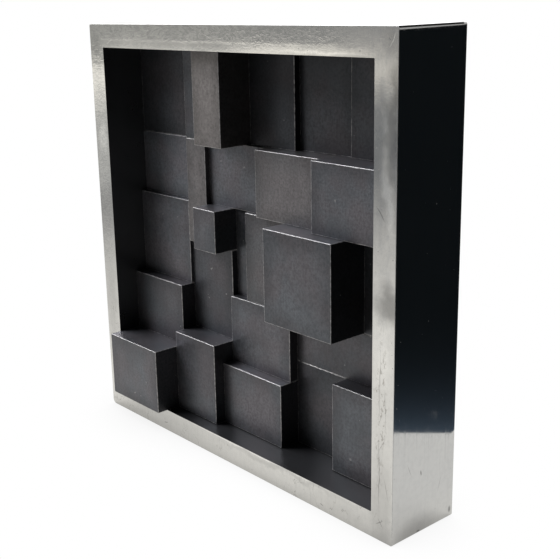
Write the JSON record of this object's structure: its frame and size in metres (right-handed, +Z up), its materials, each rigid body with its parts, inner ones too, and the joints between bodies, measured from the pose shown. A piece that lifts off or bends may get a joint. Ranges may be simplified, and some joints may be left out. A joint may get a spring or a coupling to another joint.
{
  "type": "magnetic desk sculpture",
  "caption": "Square polished metal frame that stands on edge and holds a stepped wall of satin black magnetic blocks, each of which pulls straight off a steel plate.",
  "frame": {"origin": "centre of the frame's underside, on the surface that it stands on", "axes": "+Z up, front facing -Y, +X to the right seen from the front"},
  "size_m": [0.2032, 0.044, 0.2032],
  "materials": {
    "frame": "hand polished, fine scratches",
    "back_plate": "rolled sheet, oiled",
    "plate_screw": "turned, bright",
    "block": "satin black, brushed",
    "magnet": "nickel plated"
  },
  "bodies": {
    "frame_assembly": {"frame": "frame", "back_plate": "back_plate", "plate_screw_top_left": "plate_screw", "plate_screw_top_right": "plate_screw", "plate_screw_bottom_left": "plate_screw", "plate_screw_bottom_right": "plate_screw"},
    "top_left": {"top_left_block": "block", "top_left_magnet": "magnet"},
    "top_narrow": {"top_narrow_block": "block", "top_narrow_magnet": "magnet"},
    "top_proud": {"top_proud_block": "block", "top_proud_magnet": "magnet"},
    "top_centre": {"top_centre_block": "block", "top_centre_magnet": "magnet"},
    "top_inner_right": {"top_inner_right_block": "block", "top_inner_right_magnet": "magnet"},
    "top_right": {"top_right_block": "block", "top_right_magnet": "magnet"},
    "upper_left": {"upper_left_block": "block", "upper_left_magnet": "magnet"},
    "upper_narrow": {"upper_narrow_block": "block", "upper_narrow_magnet": "magnet"},
    "upper_middle": {"upper_middle_block": "block", "upper_middle_magnet": "magnet"},
    "upper_centre": {"upper_centre_block": "block", "upper_centre_magnet": "magnet"},
    "upper_right": {"upper_right_block": "block", "upper_right_magnet": "magnet"},
    "middle_left": {"middle_left_block": "block", "middle_left_magnet": "magnet"},
    "small_cube": {"small_cube_block": "block", "small_cube_magnet": "magnet"},
    "sunk_strip": {"sunk_strip_block": "block", "sunk_strip_magnet": "magnet"},
    "middle_centre": {"middle_centre_block": "block", "middle_centre_magnet": "magnet"},
    "big_square": {"big_square_block": "block", "big_square_magnet": "magnet"},
    "right_strip": {"right_strip_block": "block", "right_strip_magnet": "magnet"},
    "lower_left": {"lower_left_block": "block", "lower_left_magnet": "magnet"},
    "lower_middle": {"lower_middle_block": "block", "lower_middle_magnet": "magnet"},
    "lower_centre": {"lower_centre_block": "block", "lower_centre_magnet": "magnet"},
    "lower_right": {"lower_right_block": "block", "lower_right_magnet": "magnet"},
    "corner_proud": {"corner_proud_block": "block", "corner_proud_magnet": "magnet"},
    "bottom_upright": {"bottom_upright_block": "block", "bottom_upright_magnet": "magnet"},
    "bottom_centre": {"bottom_centre_block": "block", "bottom_centre_magnet": "magnet"},
    "bottom_sunk": {"bottom_sunk_block": "block", "bottom_sunk_magnet": "magnet"},
    "bottom_right": {"bottom_right_block": "block", "bottom_right_magnet": "magnet"}
  },
  "joints": [
    {"name": "top_left_pull", "type": "slide", "parent": "frame_assembly", "child": "top_left", "axis": [0, -1, 0], "range_m": [0, 0.05]},
    {"name": "top_narrow_pull", "type": "slide", "parent": "frame_assembly", "child": "top_narrow", "axis": [0, -1, 0], "range_m": [0, 0.05]},
    {"name": "top_proud_pull", "type": "slide", "parent": "frame_assembly", "child": "top_proud", "axis": [0, -1, 0], "range_m": [0, 0.05]},
    {"name": "top_centre_pull", "type": "slide", "parent": "frame_assembly", "child": "top_centre", "axis": [0, -1, 0], "range_m": [0, 0.05]},
    {"name": "top_inner_right_pull", "type": "slide", "parent": "frame_assembly", "child": "top_inner_right", "axis": [0, -1, 0], "range_m": [0, 0.05]},
    {"name": "top_right_pull", "type": "slide", "parent": "frame_assembly", "child": "top_right", "axis": [0, -1, 0], "range_m": [0, 0.05]},
    {"name": "upper_left_pull", "type": "slide", "parent": "frame_assembly", "child": "upper_left", "axis": [0, -1, 0], "range_m": [0, 0.05]},
    {"name": "upper_narrow_pull", "type": "slide", "parent": "frame_assembly", "child": "upper_narrow", "axis": [0, -1, 0], "range_m": [0, 0.05]},
    {"name": "upper_middle_pull", "type": "slide", "parent": "frame_assembly", "child": "upper_middle", "axis": [0, -1, 0], "range_m": [0, 0.05]},
    {"name": "upper_centre_pull", "type": "slide", "parent": "frame_assembly", "child": "upper_centre", "axis": [0, -1, 0], "range_m": [0, 0.05]},
    {"name": "upper_right_pull", "type": "slide", "parent": "frame_assembly", "child": "upper_right", "axis": [0, -1, 0], "range_m": [0, 0.05]},
    {"name": "middle_left_pull", "type": "slide", "parent": "frame_assembly", "child": "middle_left", "axis": [0, -1, 0], "range_m": [0, 0.05]},
    {"name": "small_cube_pull", "type": "slide", "parent": "frame_assembly", "child": "small_cube", "axis": [0, -1, 0], "range_m": [0, 0.05]},
    {"name": "sunk_strip_pull", "type": "slide", "parent": "frame_assembly", "child": "sunk_strip", "axis": [0, -1, 0], "range_m": [0, 0.05]},
    {"name": "middle_centre_pull", "type": "slide", "parent": "frame_assembly", "child": "middle_centre", "axis": [0, -1, 0], "range_m": [0, 0.05]},
    {"name": "big_square_pull", "type": "slide", "parent": "frame_assembly", "child": "big_square", "axis": [0, -1, 0], "range_m": [0, 0.05]},
    {"name": "right_strip_pull", "type": "slide", "parent": "frame_assembly", "child": "right_strip", "axis": [0, -1, 0], "range_m": [0, 0.05]},
    {"name": "lower_left_pull", "type": "slide", "parent": "frame_assembly", "child": "lower_left", "axis": [0, -1, 0], "range_m": [0, 0.05]},
    {"name": "lower_middle_pull", "type": "slide", "parent": "frame_assembly", "child": "lower_middle", "axis": [0, -1, 0], "range_m": [0, 0.05]},
    {"name": "lower_centre_pull", "type": "slide", "parent": "frame_assembly", "child": "lower_centre", "axis": [0, -1, 0], "range_m": [0, 0.05]},
    {"name": "lower_right_pull", "type": "slide", "parent": "frame_assembly", "child": "lower_right", "axis": [0, -1, 0], "range_m": [0, 0.05]},
    {"name": "corner_proud_pull", "type": "slide", "parent": "frame_assembly", "child": "corner_proud", "axis": [0, -1, 0], "range_m": [0, 0.05]},
    {"name": "bottom_upright_pull", "type": "slide", "parent": "frame_assembly", "child": "bottom_upright", "axis": [0, -1, 0], "range_m": [0, 0.05]},
    {"name": "bottom_centre_pull", "type": "slide", "parent": "frame_assembly", "child": "bottom_centre", "axis": [0, -1, 0], "range_m": [0, 0.05]},
    {"name": "bottom_sunk_pull", "type": "slide", "parent": "frame_assembly", "child": "bottom_sunk", "axis": [0, -1, 0], "range_m": [0, 0.05]},
    {"name": "bottom_right_pull", "type": "slide", "parent": "frame_assembly", "child": "bottom_right", "axis": [0, -1, 0], "range_m": [0, 0.05]}
  ]
}
